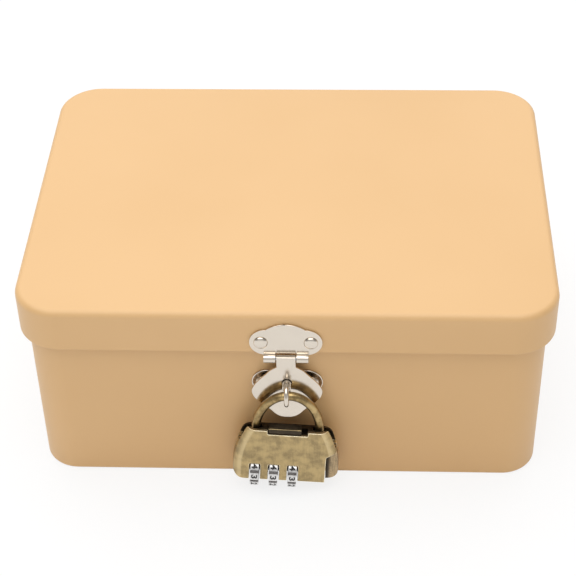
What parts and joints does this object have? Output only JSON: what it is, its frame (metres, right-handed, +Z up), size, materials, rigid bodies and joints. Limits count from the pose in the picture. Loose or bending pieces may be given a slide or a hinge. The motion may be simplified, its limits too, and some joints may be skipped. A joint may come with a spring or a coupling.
{
  "type": "lockable tin box",
  "caption": "Rounded tin storage box with a hinged overlapping lid, closed by a riveted front hasp, a ring staple and a small dial padlock with a side button.",
  "frame": {"origin": "middle of the flat underside of the floor", "axes": "+X along the width to the viewer's right, -Y out of the front with the hasp, +Z up out of the lid"},
  "size_m": [0.19, 0.1534, 0.08],
  "materials": {
    "apricot_paint": "satin apricot lacquer on tinplate",
    "bright_nickel": "polished nickel plate",
    "aged_brass": "satin antique brass",
    "dark_brass": "blackened brass with rubbed edges",
    "dial_silver": "satin silver with black digits",
    "plain_steel": "plain steel"
  },
  "bodies": {
    "box": {"box_wall": "apricot_paint", "box_floor": "apricot_paint", "rear_hinge_left_body_leaf": "bright_nickel", "rear_hinge_left_pin": "plain_steel", "rear_hinge_right_body_leaf": "bright_nickel", "rear_hinge_right_pin": "plain_steel", "body_hinge_rivet_1": "bright_nickel", "body_hinge_rivet_2": "bright_nickel", "body_hinge_rivet_3": "bright_nickel", "body_hinge_rivet_4": "bright_nickel", "staple_plate": "bright_nickel", "staple_plate_rivet_1": "bright_nickel", "staple_plate_rivet_2": "bright_nickel", "staple_eye": "bright_nickel", "eye_washer": "plain_steel"},
    "lid": {"lid_shell": "apricot_paint", "rear_hinge_left_lid_leaf": "bright_nickel", "rear_hinge_right_lid_leaf": "bright_nickel", "lid_hinge_rivet_1": "bright_nickel", "lid_hinge_rivet_2": "bright_nickel", "lid_hinge_rivet_3": "bright_nickel", "lid_hinge_rivet_4": "bright_nickel", "hasp_plate": "bright_nickel", "hasp_plate_rivet_1": "bright_nickel", "hasp_plate_rivet_2": "bright_nickel", "hasp_pin": "plain_steel"},
    "hasp": {"hasp_leaf": "bright_nickel"},
    "padlock": {"lock_front_shell": "aged_brass", "lock_back_shell": "aged_brass", "lock_chassis": "dark_brass", "lock_case_screw_1": "aged_brass", "lock_case_screw_2": "aged_brass", "shackle_pivot_pin": "plain_steel", "dial_axle": "plain_steel", "dial_detent_spring": "plain_steel", "button_spring": "plain_steel"},
    "bail": {"shackle": "aged_brass"},
    "left_dial": {"dial_wheel_left": "dial_silver", "dial_hub_left": "plain_steel"},
    "middle_dial": {"dial_wheel_middle": "dial_silver", "dial_hub_middle": "plain_steel"},
    "right_dial": {"dial_wheel_right": "dial_silver", "dial_hub_right": "plain_steel"},
    "slider": {"code_slider": "dark_brass"},
    "button": {"release_button": "aged_brass", "latch_bar": "plain_steel"}
  },
  "joints": [
    {"name": "lid_open", "type": "hinge", "parent": "box", "child": "lid", "pos_m": [0, 0.0716, 0.0616], "axis": [-1, 0, 0], "range_deg": [0, 105]},
    {"name": "padlock_off", "type": "slide", "parent": "box", "child": "padlock", "axis": [0, -1, 0], "range_m": [0, 0.08]},
    {"name": "shackle_open", "type": "hinge", "parent": "padlock", "child": "bail", "pos_m": [-0.01106, -0.07377, 0.02747], "axis": [0, -1, 0], "range_deg": [0, 60]},
    {"name": "hasp_swing", "type": "hinge", "parent": "lid", "child": "hasp", "pos_m": [0.0005, -0.0716, 0.0616], "axis": [-1, 0, 0], "range_deg": [0, 150]},
    {"name": "dial_left_turn", "type": "hinge", "parent": "padlock", "child": "left_dial", "pos_m": [-0.01193, -0.07377, 0.00879], "axis": [0.998, 0, -0.0628], "continuous": true},
    {"name": "dial_middle_turn", "type": "hinge", "parent": "padlock", "child": "middle_dial", "pos_m": [-0.00505, -0.07377, 0.00836], "axis": [0.998, 0, -0.0628], "continuous": true},
    {"name": "dial_right_turn", "type": "hinge", "parent": "padlock", "child": "right_dial", "pos_m": [0.00184, -0.07377, 0.00792], "axis": [0.998, 0, -0.0628], "continuous": true},
    {"name": "code_slide", "type": "slide", "parent": "padlock", "child": "slider", "axis": [0.998, 0, -0.0628], "range_m": [0, 0.002]},
    {"name": "button_press", "type": "slide", "parent": "padlock", "child": "button", "axis": [-0.998, 0, 0.0628], "range_m": [0, 0.0015], "stiffness_N_per_m": 300, "springref_m": -0.001}
  ],
  "couplings": [
    {"joint": "shackle_open", "follows": "padlock_off", "rad_per_m": 13.068},
    {"joint": "hasp_swing", "follows": "padlock_off", "rad_per_m": 32.703}
  ]
}
